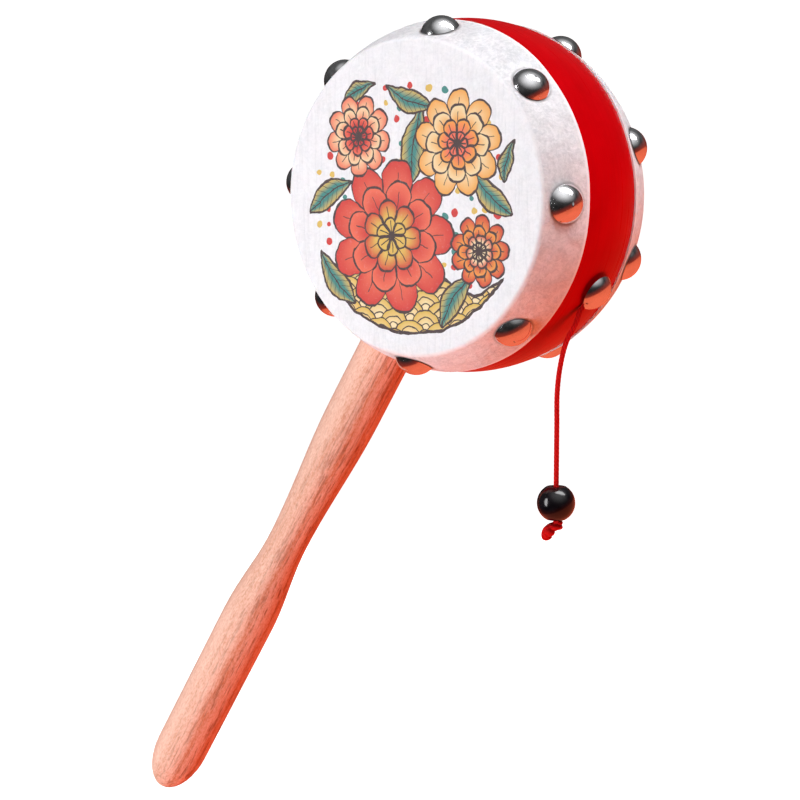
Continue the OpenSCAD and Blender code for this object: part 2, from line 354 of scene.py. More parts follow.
def turned_sheet(name, outline, side, segments):
    """A sheet turned round the drum's axis: a disc whose rim is extruded ring by ring along the outline."""
    radius, height = outline[0]
    deselect_all()
    bpy.ops.mesh.primitive_circle_add(
        vertices=segments, radius=radius, fill_type="TRIFAN",
        location=CENTRE + Vector((0, side * height, 0)), rotation=(math.pi / 2, 0, 0))
    sheet = settle(bpy.context.object)
    sheet.name = name
    edit_rim(sheet)
    for next_radius, next_height in outline[1:]:
        step = side * (next_height - height)
        bpy.ops.mesh.extrude_edges_move(TRANSFORM_OT_translate={"value": (0, step, 0)})
        share = next_radius / radius
        bpy.ops.transform.resize(value=(share, 1, share), center_override=CENTRE)
        radius, height = next_radius, next_height
    bpy.ops.mesh.select_all(action="SELECT")
    bpy.ops.mesh.normals_make_consistent(inside=False)
    end_edit()
    return sheet


def snip(outward, cuts, side):
    """How far the cut edge strays there, from -1 to 1: straight snips between uneven corners."""
    turn = (math.atan2(outward.z, outward.x) / (2 * math.pi)) % 1.0 * cuts
    corner = math.floor(turn)
    ends = [
        noise.noise(Vector(((corner + k) % cuts * CORNER_STEP, side * SIDE_STEP, 0.5))) * 1.8 for k in (0, 1)]
    return ends[0] + (ends[1] - ends[0]) * (turn - corner) + 0.15 * noise.noise(outward * 16.0)


def press_skin(sheet, nails, side, settings):
    """Dents the skin round its nails, lifts it a little between them and lets the cut edge stray."""
    for vertex in sheet.data.vertices:
        place = vertex.co - CENTRE
        direction = place.normalized()
        depth = abs(place.y)
        gap = min((direction - nail).length * BALL_R for nail in nails)
        on_skirt = held((HALF_W - depth) / RIM_FADE)
        dent = math.exp(-((max(0.0, gap - NAIL_R) / settings.dent_reach) ** 2))
        lift = noise.noise(Vector((place.x, 0, place.z)) * 55) * settings.pull
        outward = Vector((direction.x, 0, direction.z)) if on_skirt else Vector((0, side, 0))
        vertex.co += direction * (lift - settings.dent * dent) * on_skirt
        edge = held(1 - (depth - BAND_HALF) / CUT_FADE)
        vertex.co.y += side * snip(outward, settings.cuts, side) * settings.wander * edge
        vertex.co += direction * settings.curl * edge ** 4


class RATTLE_OT_skins(bpy.types.Operator):
    """Stretches the two skins over the shell"""

    bl_idname = "rattle.skins"
    bl_label = "Skins"

    def execute(self, context):
        settings = context.scene.rattle_skin
        outline = skin_outline(settings)
        for name, node, nails, side in (
            ("front_skin", "front_head", "front_tacks", -1),
            ("rear_skin", "rear_head", "rear_tacks", 1),
        ):
            sheet = turned_sheet(name, outline, side, settings.segments)
            directions = nail_directions(nails)
            press_skin(sheet, directions, side, settings)
            apply_modifier(sheet, "SOLIDIFY", thickness=SKIN_T, offset=-1)
            smooth(sheet, 40)
            wear(sheet, skin_material(name + "_finish", settings, directions, printed=side < 0))
            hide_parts(node)
            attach(sheet, "rattle")
        return {"FINISHED"}


# Cords

# Distance between two rings of a cord
PATH_STEP = 0.25 * MM
# The flat end's middle above the band, the turn's length past its joint, and a cord's depth in its knot
FLAT_HEIGHT = 0.5 * MM
TURN_PAST = 2.2 * MM
KNOT_ENTRY = 0.4 * MM
# The knot: radius, offset, turns, top, drop and tilt of its winding
WIND_R = 1.5 * MM
WIND_ASIDE = 0.4 * MM
WIND_TURNS = 1.7
WIND_TOP = -0.8 * MM
WIND_DROP = 1.95 * MM
WIND_TILT = 0.3 * MM
# Its ends in millimetres from its top: the way in, and the tail's points with the tail's side first
KNOT_IN = [(0, 0, 0.2), (0, 0, -0.5)]
KNOT_TAIL = [(1.6, -1.2, -2.6), (2.3, -0.8, -3.9), (2.3, -0.3, -5.4)]
# Length of the tail's thick part, and of its rounded tip
SWOLLEN = 8 * MM
TIP_ROUND = 0.9 * MM


def between(a, b, c, d, t):
    """Place at share t of the smooth curve from b to c."""
    return (b + (c - a) * (t / 2) + (2 * a - 5 * b + 4 * c - d) * (t * t / 2)
            + (3 * b - a - 3 * c + d) * (t ** 3 / 2))


def smooth_path(points, step):
    """Places along the smooth curve through the points, a step apart or a little less."""
    places = []
    for i in range(len(points) - 1):
        a, b, c = points[max(i - 1, 0)], points[i], points[i + 1]
        d = points[min(i + 2, len(points) - 1)]
        count = max(1, math.ceil((c - b).length / step))
        places += [between(a, b, c, d, k / count) for k in range(count)]
    return places + [points[-1]]


def path_length(places):
    return sum((b - a).length for a, b in zip(places, places[1:]))


def plied_tube(name, places, halves, facing, start_along, settings):
    """A cord laid from plies along its places. Each of halves is (half width, half height) of the cord there,
    the height lying towards facing, and start_along is the cord's length before the first place."""
    points_round = 8 * settings.plies
    mesh = bmesh.new()
    groove = mesh.verts.layers.float.new("groove")
    uv = mesh.loops.layers.uv.new("UVMap")
    rings = []
    along = start_along
    alongs = []
    for i, place in enumerate(places):
        before, after = places[max(i - 1, 0)], places[min(i + 1, len(places) - 1)]
        if i:
            along += (place - before).length
        alongs.append(along)
        ahead = (after - before).normalized()
        across = ahead.cross(facing).normalized()
        up = across.cross(ahead)
        twist = 2 * math.pi * along / settings.lay
        half_width, half_height = halves[i]
        ring = []
        for k in range(points_round):
            turn = 2 * math.pi * k / points_round
            sunk = 1 - abs(math.cos(settings.plies * (turn - twist) / 2))
            share = 1 - 2 * settings.groove / settings.diameter * sunk ** 2
            vertex = mesh.verts.new(
                place + (across * math.cos(turn) * half_width + up * math.sin(turn) * half_height) * share)
            vertex[groove] = sunk
            ring.append(vertex)
        rings.append(ring)
    for i in range(len(rings) - 1):
        for k in range(points_round):
            after = (k + 1) % points_round
            face = mesh.faces.new((rings[i][k], rings[i][after], rings[i + 1][after], rings[i + 1][k]))
            face.smooth = True
            shares = (k, k + 1, k + 1, k)
            heights = (alongs[i], alongs[i], alongs[i + 1], alongs[i + 1])
            for loop, share, height in zip(face.loops, shares, heights):
                loop[uv].uv = (share / points_round, height / settings.lay)
    mesh.faces.new(rings[0])
    mesh.faces.new(reversed(rings[-1]))
    bmesh.ops.recalc_face_normals(mesh, faces=mesh.faces)
    data = bpy.data.meshes.new(name)
    mesh.to_mesh(data)
    mesh.free()
    piece = bpy.data.objects.new(name, data)
    bpy.context.scene.collection.objects.link(piece)
    return piece


def nail_way(side):
    """Direction from the drum's centre to the nail of a cord."""
    low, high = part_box(side + "_cord_tack")
    middle = (low + high) / 2 - CENTRE
    return Vector((middle.x, 0, middle.z)).normalized()


def cord_pieces(side, settings, material):
    """The cord of one side: its pinched start, its turn over the band and its hanging length."""
    route = [CENTRE + Vector(p) for p in ROUTES[side]]
    facing = nail_way(side)
    half = settings.diameter / 2
    exit_place = route[0]
    along_band = exit_place - (CENTRE + facing * (exit_place - CENTRE).dot(facing))
    under_nail = CENTRE + facing * (BALL_R + FLAT_HEIGHT)
    neck_middle = (route[0] + route[NECK_JOINT]) / 2
    reach = (exit_place - CENTRE).dot(facing) - BALL_R - FLAT_HEIGHT
    start_points = [
        under_nail + along_band * 0.2,
        under_nail + along_band * 0.6,
        under_nail + along_band * 0.85 + facing * reach * 0.6,
        exit_place,
        neck_middle,
    ]
    start = smooth_path(start_points, PATH_STEP)
    halves = []
    for place in start:
        share = eased((place - start[0]).length / ((exit_place - start[0]).length * 0.95))
        halves.append((
            settings.pinched_width / 2 * (1 - share) + half * share,
            settings.pinched_height / 2 * (1 - share) + half * share,
        ))
    begin = plied_tube(side + "_cord_start", start, halves, facing, 0.0, settings)
    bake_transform(begin)

    whole = smooth_path(route[:KNEE_JOINT + 1], PATH_STEP)
    lengths = [path_length(whole[:i + 1]) for i in range(len(whole))]
    neck_length = (route[NECK_JOINT] - route[0]).length
    turn_from = neck_length / 2
    turn_to = neck_length + TURN_PAST
    turn = [neck_middle] + [p for p, l in zip(whole, lengths) if turn_from < l <= turn_to]
    so_far = path_length(start)
    bend = plied_tube(side + "_cord_turn", turn, [(half, half)] * len(turn), facing, so_far, settings)
    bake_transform(bend)

    so_far += path_length(turn)
    knot_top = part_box(side + "_knot")[1].z
    below = route[-1].copy()
    below.z = knot_top - KNOT_ENTRY
    knee = route[KNEE_JOINT]
    straight = smooth_path([knee, route[-1], below], PATH_STEP)
    hang = [turn[-1]] + [p for p, l in zip(whole, lengths) if l > turn_to] + straight[1:]
    main = plied_tube(side + "_cord_hang", hang, [(half, half)] * len(hang), facing, so_far, settings)
    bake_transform(main)
    for piece, nodes in (
        (begin, [side + "_cord_eye"]),
        (bend, [side + "_cord_neck"]),
        (main, [side + "_cord_upper", side + "_cord_lower"]),
    ):
        wear(piece, material)
        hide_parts(*nodes)
    return main, hang, so_far + path_length(hang)


def knot(side, along, settings, material):
    """The cord's end wound round itself under the bead, with a short tail whose tip is melted into a ball."""
    top = CENTRE + Vector(ROUTES[side][-1])
    top.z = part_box(side + "_knot")[1].z
    tail = TAIL_SIDES[side]
    wind_steps = 12
    points = [top + Vector(p) * MM for p in KNOT_IN]
    for k in range(wind_steps + 1):
        share = k / wind_steps
        turn = 2 * math.pi * WIND_TURNS * share
        aside = tail * (WIND_ASIDE - WIND_R * math.cos(turn))
        height = WIND_TOP - WIND_DROP * share + WIND_TILT * math.cos(turn)
        points.append(top + Vector((aside, WIND_R * math.sin(turn), height)))
    points += [top + Vector((tail * aside, back, up)) * MM for aside, back, up in KNOT_TAIL]
    places = smooth_path(points, PATH_STEP)
    halves = []
    total = path_length(places)
    for i in range(len(places)):
        left = total - path_length(places[:i + 1])
        swell = 1 + 1.05 * eased((SWOLLEN - left) / (SWOLLEN * 0.4))
        close = math.sqrt(max(0.02, 1 - max(0.0, 1 - left / TIP_ROUND) ** 2))
        halves.append((settings.diameter / 2 * swell * close,) * 2)
    piece = plied_tube(side + "_knot_tied", places, halves, Vector((0.3, 0.2, 1.0)), along, settings)
    wear(piece, material)
    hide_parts(side + "_knot")
    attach(piece, side + "_cord_lower")
    return piece


class RATTLE_OT_cords(bpy.types.Operator):
    """Lays the two cords from their nails to the knots under their beads"""

    bl_idname = "rattle.cords"
    bl_label = "Cords"

    def execute(self, context):
        settings = context.scene.rattle_cord
        material = cord_material(settings)
        for side in ROUTES:
            main, path, along = cord_pieces(side, settings, material)
            tied = knot(side, along, settings, material)
            path_length(path)
        return {"FINISHED"}


# Shader nodes

SOCKETS = {"vector": "NodeSocketVector", "value": "NodeSocketFloat", "colour": "NodeSocketColor"}
MOTIF = {"Under": "colour", "Place": "vector", "Centre": "vector", "Turn": "value", "Size": "value"}


class Value:
    """A node's output. A sum with it adds a maths node to its tree."""

    def __init__(self, socket):
        self.socket = socket

    def __add__(self, other):
        return calc("ADD", self, other)

    def __sub__(self, other):
        return calc("SUBTRACT", self, other)

    def __rsub__(self, other):
        return calc("SUBTRACT", other, self)

    def __mul__(self, other):
        return calc("MULTIPLY", self, other)

    def __truediv__(self, other):
        return calc("DIVIDE", self, other)

    def __rtruediv__(self, other):
        return calc("DIVIDE", other, self)

    def __lt__(self, other):
        return calc("LESS_THAN", self, other)

    def __abs__(self):
        return calc("ABSOLUTE", self)


class Outputs:
    """A node's outputs, by name or number."""

    def __init__(self, node):
        self.node = node

    def __getitem__(self, key):
        return Value(self.node.outputs[key])


def fill(node, inputs):
    """Links or sets a node's inputs, by name or number. A colour is three numbers."""
    for name, value in inputs.items():
        socket = node.inputs[name]
        if isinstance(value, Value):
            node.id_data.links.new(value.socket, socket)
        else:
            socket.default_value = (*value, 1.0) if socket.type == "RGBA" else value


def add(kind, inputs=None, tree=None, **values):
    """Adds a node to the tree, which is that of its linked inputs unless it is given."""
    inputs = inputs or {}
    tree = tree or next(value.socket.id_data for value in inputs.values() if isinstance(value, Value))
    node = tree.nodes.new(kind)
    for name, value in values.items():
        setattr(node, name, value)
    fill(node, inputs)
    return Outputs(node)


def calc(operation, *values):
    return add("ShaderNodeMath", dict(enumerate(values)), operation=operation)[0]


def larger(first, second):
    return calc("MAXIMUM", first, second)


def vector(operation, *values):
    """A sum of vectors that gives a vector."""
    return add("ShaderNodeVectorMath", dict(enumerate(values)), operation=operation)[0]


def measure(operation, *values):
    """A sum of vectors that gives a number."""
    return add("ShaderNodeVectorMath", dict(enumerate(values)), operation=operation)["Value"]


def axes_of(place):
    return add("ShaderNodeSeparateXYZ", {0: place})


def spread(value, low, high, to_low=0.0, to_high=1.0):
    """Maps a value's range to another, and holds it there."""
    inputs = {"Value": value, "From Min": low, "From Max": high, "To Min": to_low, "To Max": to_high}
    return add("ShaderNodeMapRange", inputs)[0]


def mix(share, first, second):
    """The first colour where the share is 0, the second where it is 1."""
    return add("ShaderNodeMix", {0: share, 6: first, 7: second}, data_type="RGBA")[2]


def grains(place, scale, detail, roughness=0.5):
    inputs = {"Vector": place, "Scale": scale, "Detail": detail, "Roughness": roughness}
    return add("ShaderNodeTexNoise", inputs)


def stretched_noise(place, scale, detail):
    """Noise whose grains are drawn out where the scale is small."""
    return grains(vector("MULTIPLY", place, scale), 1.0, detail, 0.6)[0]


def bump(height, depth):
    return add("ShaderNodeBump", {"Height": height, "Distance": depth, "Strength": 1.0})[0]


def new_group(name, inputs, outputs):
    """A node group with named sockets: inputs and outputs are {name: kind}."""
    tree = bpy.data.node_groups.new(name, "ShaderNodeTree")
    for way, sockets in (("INPUT", inputs), ("OUTPUT", outputs)):
        for socket, kind in sockets.items():
            tree.interface.new_socket(socket, in_out=way, socket_type=SOCKETS[kind])
    return Outputs(tree.nodes.new("NodeGroupInput")), tree.nodes.new("NodeGroupOutput")


def shared(build, inputs):
    """Places a shared group, which is built the first time that it is asked for."""
    name = build.__name__
    if name not in bpy.data.node_groups:
        build(name)
    return add("ShaderNodeGroup", inputs, node_tree=bpy.data.node_groups[name])


def new_material(name):
    """An empty material and its shader."""
    material = bpy.data.materials.new(name)
    material.use_nodes = True
    tree = material.node_tree
    tree.nodes.clear()
    shader = tree.nodes.new("ShaderNodeBsdfPrincipled")
    output = tree.nodes.new("ShaderNodeOutputMaterial")
    tree.links.new(shader.outputs[0], output.inputs["Surface"])
    return material, shader


def own_place(material, turn=(0.0, 0.0, 0.0)):
    """Place from the drum's centre, turned."""
    source = add("ShaderNodeTexCoord", tree=material.node_tree)["Object"]
    moved = add("ShaderNodeMapping", {"Vector": source, "Location": tuple(-CENTRE)})[0]
    return add("ShaderNodeMapping", {"Vector": moved, "Rotation": turn})[0]


# Print

# The motifs: places on the face from the drum's centre, sizes in millimetres
FLOWERS = [
    ((-6, -10, 0), 20.0, 0.3, "red", "coral", "gold"),
    ((15, 14, 0), 13.5, 0.9, "orange", "cream", "coral"),
    ((-17, 16, 0), 10.5, 1.9, "coral", "cream", "red"),
    ((22, -13, 0), 9.0, 2.4, "red", "orange", "cream"),
]
LEAVES = [
    ((1, 14, 0), 10.0, 1.75), ((-27, 1, 0), 8.5, 2.6), ((25, 1, 0), 8.5, 0.75), ((-1, 25, 0), 8.0, 0.35),
    ((14, -25, 0), 8.5, 2.2), ((-25, -22, 0), 9.0, 0.85), ((-17, 28, 0), 6.0, 2.7), ((30, 10, 0), 5.5, 1.9),
]
# Rings of petals: radius, petals, turn, colour of the tips and of the bases
PETAL_RINGS = [
    (1.0, 9.0, 0.0, "Outer", "Inner"), (0.72, 8.0, 0.4, "Inner", "Outer"),
    (0.47, 7.0, 0.2, "Outer", "Heart"), (0.24, 6.0, 0.6, "Heart", "Heart"),
]
# The printed area and its pen lines, in millimetres
PRINT_R = 35.0
DOTS_R = 31.5
PEN = 0.4
PETAL_PEN = 0.62
LEAF_PEN = 0.3
SCALE_SIZE = 5.2
SHORE = -21.5
SHORE_RISE = 2.6


def flat_place(name):
    """Place on the face in millimetres, turned and scaled into a motif's own units."""
    given, result = new_group(
        name, {"Place": "vector", "Centre": "vector", "Turn": "value", "Size": "value"}, {"Place": "vector"})
    moved = vector("SUBTRACT", given["Place"], given["Centre"])
    turned = add("ShaderNodeVectorRotate", {"Vector": moved, "Angle": given["Turn"]}, rotation_type="Z_AXIS")
    scaled = add("ShaderNodeVectorMath", {0: turned[0], "Scale": 1.0 / given["Size"]}, operation="SCALE")
    fill(result, {"Place": scaled[0]})


def motif_place(given):
    return shared(flat_place, {key: given[key] for key in ("Place", "Centre", "Turn", "Size")})["Place"]


def petal_ring(name):
    """A ring of rounded petals: its filled area, its drawn lines and a share from heart to tip."""
    given, result = new_group(
        name, {"Place": "vector", "Radius": "value", "Petals": "value", "Turn": "value", "Line": "value"},
        {"Fill": "value", "Line": "value", "Share": "value"})
    axes = axes_of(given["Place"])
    reach = measure("LENGTH", given["Place"])
    petal = calc("ARCTAN2", axes[1], axes[0]) * (given["Petals"] / (2 * math.pi)) + given["Turn"]
    from_middle = abs(calc("FRACT", petal) - 0.5)
    tip = given["Radius"] * (1.0 - calc("POWER", from_middle * 2.0, 2.6) * 0.26)
    outside = reach - tip
    half_line = given["Line"] * 0.5
    rim_line = abs(outside) < half_line
    inside = outside < 0.0
    side_line = (0.5 - from_middle) * reach * 0.8 < half_line
    vein = (from_middle * reach < half_line * 0.5) * (reach < given["Radius"] * 0.84)
    line = larger(rim_line, larger(side_line, vein) * inside)
    fill(result, {"Fill": inside, "Line": line, "Share": reach / tip})


def flower(name):
    """A many-petalled flower drawn over whatever lies under it."""
    inks = {"Outer": "colour", "Inner": "colour", "Heart": "colour", "Ink": "colour"}
    given, result = new_group(name, {**MOTIF, **inks}, {"Colour": "colour"})
    place = motif_place(given)
    line = PETAL_PEN / given["Size"]
    colour = given["Under"]
    for radius, petals, turn, tip_name, base_name in PETAL_RINGS:
        ring = shared(petal_ring, {
            "Place": place, "Radius": radius, "Petals": petals, "Turn": turn, "Line": line})
        petal_colour = mix(spread(ring["Share"], 0.55, 1.0), given[base_name], given[tip_name])
        colour = mix(ring["Fill"], colour, petal_colour)
        colour = mix(ring["Line"], colour, given["Ink"])
    fill(result, {"Colour": colour})


def leaf(name):
    """A pointed leaf with a midrib and side veins, drawn over whatever lies under it."""
    inks = {"Leaf": "colour", "Edge": "colour", "Ink": "colour"}
    given, result = new_group(name, {**MOTIF, **inks}, {"Colour": "colour"})
    axes = axes_of(motif_place(given))
    line = LEAF_PEN / given["Size"]
    squared = axes[0] * axes[0]
    side = abs(axes[1] - squared * 0.16)
    half_width = larger(1.0 - squared, 0.0) * (axes[0] * 0.1 + 0.36)
    outside = side - half_width
    near_leaf = abs(axes[0]) < 1.0
    inside = (outside < 0.0) * near_leaf
    rim = (abs(outside) < line) * near_leaf
    midrib = side < line * 0.6
    veins = calc("FRACT", (axes[0] - side) * 4.5) < line * 3.0
    drawn = larger(midrib, veins) * inside
    share = spread(side / larger(half_width, 0.01), 0.3, 1.0)
    colour = mix(inside, given["Under"], mix(share, given["Leaf"], given["Edge"]))
    fill(result, {"Colour": mix(larger(rim, drawn), colour, given["Ink"])})


def wave_scales(name):
    """Rows of overlapping scales, each drawn with concentric rings."""
    given, result = new_group(
        name, {"Place": "vector", "Size": "value", "Pale": "colour", "Deep": "colour", "Ink": "colour"},
        {"Colour": "colour"})
    axes = axes_of(shared(flat_place, {
        "Place": given["Place"], "Centre": (0, 0, 0), "Turn": 0.0, "Size": given["Size"]})["Place"])
    row_step = 0.5
    row = calc("FLOOR", axes[1] / row_step)
    share = 1.0
    for back in (1.0, 0.0, -1.0):
        number = row + back
        along = axes[0] - calc("FLOORED_MODULO", number, 2.0)
        aside = (calc("FRACT", along * 0.5 + 0.5) - 0.5) * 2.0
        above = axes[1] - number * row_step
        reach = calc("SQRT", aside * aside + above * above)
        covers = reach < 1.0
        share = covers * reach + (1.0 - covers) * share
    line = 1.0 - calc("FRACT", share * 3.0) < 0.2
    colour = mix(spread(share, 0.2, 0.9), given["Pale"], given["Deep"])
    fill(result, {"Colour": mix(line, colour, given["Ink"])})


def flower_print(ground, axes, face, fibre):
    """The print on the front face: flowers among leaves over dots and rows of waves."""
    inks = bpy.context.scene.rattle_print
    ink = {name: getattr(inks, name) for name in ("line", "red", "coral", "orange", "gold", "cream", "teal")}
    flat = add("ShaderNodeCombineXYZ", {"X": axes[0], "Y": axes[2]})[0]
    in_mm = vector("MULTIPLY", flat, (1 / MM, 1 / MM, 0))
    wobble = vector("SUBTRACT", grains(flat, 260.0, 2.0)["Color"], (0.5,) * 3)
    place = vector("ADD", in_mm, vector("MULTIPLY", wobble, (1.6, 1.6, 0)))
    parts = axes_of(place)
    reach = measure("LENGTH", place)

    cells = add("ShaderNodeTexVoronoi", {"Vector": place, "Scale": 0.22, "Randomness": 0.5},
                voronoi_dimensions="2D")
    kind = add("ShaderNodeSeparateColor", {0: cells["Color"]})
    dot_colour = mix(kind[0] < 0.45, ink["gold"], ink["red"])
    dot_colour = mix(kind[1] < 0.3, dot_colour, ink["teal"])
    dots = cells["Distance"] < spread(kind[2], 0.0, 1.0, 0.14, 0.24)
    colour = mix(dots * (measure("LENGTH", cells["Position"]) < DOTS_R), ground, dot_colour)

    waves = shared(wave_scales, {
        "Place": place, "Size": SCALE_SIZE, "Pale": ink["cream"], "Deep": ink["gold"], "Ink": ink["line"]})
    shore = calc("SINE", parts[0] * 0.24) * SHORE_RISE + SHORE
    below_shore = parts[1] < shore
    edge = (abs(parts[1] - shore) < PEN) * (reach < PRINT_R + 0.3)
    rim = calc("COMPARE", reach, PRINT_R, PEN) * below_shore
    colour = mix(below_shore * (reach < PRINT_R), colour, waves["Colour"])
    colour = mix(larger(edge, rim), colour, ink["line"])

    for centre, size, turn in LEAVES:
        colour = shared(leaf, {
            "Under": colour, "Place": place, "Centre": centre, "Turn": turn, "Size": size,
            "Leaf": ink["teal"], "Edge": ink["gold"], "Ink": ink["line"]})["Colour"]
    for centre, size, turn, outer, inner, heart in FLOWERS:
        colour = shared(flower, {
            "Under": colour, "Place": place, "Centre": centre, "Turn": turn, "Size": size,
            "Outer": ink[outer], "Inner": ink[inner], "Heart": ink[heart], "Ink": ink["line"]})["Colour"]

    worn = face * spread(fibre, 0.25, 0.45, 0.8, 0.97)
    return mix(worn * (axes[1] < 0.0), ground, colour)


# Materials

# Lengths in the finishes: how deep each one's bumps are, and where its edges, streaks and painted shade begin
# and end
SKIN_BUMP = 0.15 * MM
CORD_BUMP = 0.06 * MM
WOOD_BUMP = 0.06 * MM
LACQUER_BUMP = 0.008 * MM
METAL_BUMP = 0.006 * MM
BEAD_BUMP = 0.02 * MM
SKIN_GLOW = 0.8 * MM
FACE_EDGE = 0.4 * MM
CUT_EDGE = (0.5 * MM, 0.9 * MM)
# Inner and outer reach, from a nail head's rim, of the painted shade ring round it
NAIL_SHADE_EDGE = (-0.1 * MM, 0.8 * MM)
PITH = (-11 * MM, -19 * MM)
STREAK_AND_SHADE_SPAN = (-6 * MM, 2.5 * MM)


def fibres(name):
    """Fine fibres and denser patches of dried skin: a mask of each, for colour and height."""
    given, result = new_group(name, {"Place": "vector"}, {"Patches": "value", "Fibres": "value"})
    warp = 6 * MM
    broad = grains(given["Place"], 160.0, 5.0, 0.62)
    warped = vector("ADD", given["Place"], vector("MULTIPLY", broad["Color"], (warp, warp, warp)))
    first, second = (
        grains(vector("MULTIPLY", warped, stretch), 1500.0, 5.0, 0.7)[0]
        for stretch in ((1.0, 0.4, 0.6), (0.45, 0.6, 1.0)))
    fill(result, {"Patches": spread(broad[0], 0.4, 0.62), "Fibres": (first + second) * 0.5})


def nail_gap(place, nails):
    """Distance to the middle of the nearest nail's head."""
    nearest = 1.0
    for nail in nails:
        nearest = calc("MINIMUM", nearest, measure("DISTANCE", place, tuple(nail * (BALL_R + SKIN_T))))
    return nearest


def skin_material(name, settings, nails, printed):
    """Dried skin, pale on the face and mottled down the sides, with the print on the front one and shade
    painted round the nails.
    """
    material, shader = new_material(name)
    place = own_place(material)
    grain = shared(fibres, {"Place": place})
    axes = axes_of(place)
    depth = abs(axes[1])
    face = spread(depth, HALF_W - FACE_EDGE, HALF_W)
    strength = spread(face, 0.0, 1.0, 1.0, 0.4)
    mottle = spread(grain["Patches"] * 0.1 + grain["Fibres"], 0.44, 0.68)
    hairs = spread(stretched_noise(place, (1500.0, 1500.0, 110.0), 4.0), 0.5, 0.72, 0.0, 0.3)
    colour = mix(mottle * strength + face * hairs, settings.light, settings.shade)
    cut = spread(depth, BAND_HALF + CUT_EDGE[0], BAND_HALF + CUT_EDGE[1], 0.9, 0.0)
    colour = mix(cut, colour, Vector(settings.light) * 1.08)
    if printed:
        colour = flower_print(colour, axes, face, grain["Fibres"])
    # Painted shade: a dark ring round each nail's head, standing for the shadow where the skin meets its rim
    grime = spread(nail_gap(place, nails), NAIL_R + NAIL_SHADE_EDGE[0], NAIL_R + NAIL_SHADE_EDGE[1], 0.75, 0.0)
    fill(shader, {
        "Base Color": mix(grime, colour, settings.grime),
        "Roughness": spread(grain["Fibres"], 0.3, 0.7, 0.42, 0.58),
        "Normal": bump((grain["Fibres"] + grain["Patches"]) * strength, SKIN_BUMP),
        "Specular IOR Level": 0.22,
        "Subsurface Weight": 0.12,
        "Subsurface Radius": (1.0, 0.55, 0.4),
        "Subsurface Scale": SKIN_GLOW,
    })
    return material


def cord_material(settings):
    """Plied red cord: fibres that follow each ply, with shade painted darker in the grooves."""
    material, shader = new_material("red_cord")
    tree = material.node_tree
    groove = add("ShaderNodeAttribute", tree=tree, attribute_name="groove")["Fac"]
    laid = axes_of(add("ShaderNodeTexCoord", tree=tree)["UV"])
    across = (laid[0] - laid[1]) * (2 * math.pi)
    strands = add("ShaderNodeCombineXYZ", {
        "X": calc("COSINE", across), "Y": calc("SINE", across), "Z": laid[1] * 0.7})[0]
    thread = grains(strands, 9.0, 4.0, 0.6)[0]
    # Painted shade in the grooves between plies, plus uneven fibre tone
    deep = groove * 0.85 + spread(thread, 0.4, 0.7, 0.0, 0.3)
    fill(shader, {
        "Base Color": mix(spread(deep, 0.1, 1.0), settings.colour, settings.valley),
        "Roughness": spread(thread, 0.3, 0.7, 0.5, 0.75),
        "Normal": bump(thread, CORD_BUMP),
        "Specular Tint": (1.0, 0.12, 0.12),
        "Sheen Weight": 0.12,
        "Sheen Tint": (1.0, 0.1, 0.1),
    })
    return material


def wood_material(settings):
    """Pale turned wood: growth rings, fibres and pores along the handle, under a thin wax, with shade painted
    darker towards one side.
    """
    material, shader = new_material("turned_wood")
    place = own_place(material, turn=(0.0, -LEAN, 0.0))
    axes = axes_of(place)
    from_pith = add("ShaderNodeCombineXYZ", {"X": axes[0] - PITH[0], "Y": axes[1] - PITH[1]})[0]
    drift = stretched_noise(place, (75.0, 75.0, 12.0), 3.0)
    rings = measure("LENGTH", from_pith) * (1 / settings.ring_gap) + drift * 4.0
    late = calc("POWER", calc("PINGPONG", rings, 1.0), 2.0)
    fibre = stretched_noise(place, (3000.0, 3000.0, 300.0), 5.0)
    speckle = stretched_noise(place, (2600.0, 2600.0, 1000.0), 4.0)
    streak = spread(stretched_noise(place, (1250.0, 1250.0, 60.0), 3.0), 0.5, 0.62)
    broken = spread(stretched_noise(place, (1500.0, 1500.0, 240.0), 2.0), 0.36, 0.52)
    # Darker, with more pores and streaks, towards the handle's right side, away from the main lamp: partly
    # the wood's own streaks, partly painted shade
    streaks_and_side_shade = spread(axes[0] * 0.79 + axes[1] * 0.61, STREAK_AND_SHADE_SPAN[0], STREAK_AND_SHADE_SPAN[1], 0.12, 1.0)
    pore = streak * broken * streaks_and_side_shade
    fine = spread(fibre, 0.35, 0.7, 0.0, 0.3) + spread(speckle, 0.4, 0.65, -0.08, 0.32)
    grain = fine + late * spread(streaks_and_side_shade, 0.0, 1.0, 0.06, 0.5) + streaks_and_side_shade * 0.2
    colour = mix(grain, settings.wood_light, settings.wood_dark)
    fill(shader, {
        "Base Color": mix(pore * 0.75, colour, settings.wood_pore),
        "Roughness": spread(fibre, 0.3, 0.7, 0.38, 0.55),
        "Normal": bump(fibre + speckle - pore, WOOD_BUMP),
        "Specular Tint": (1.0, 0.7, 0.55),
        "Coat Weight": 0.05,
        "Coat Roughness": 0.35,
    })
    return material


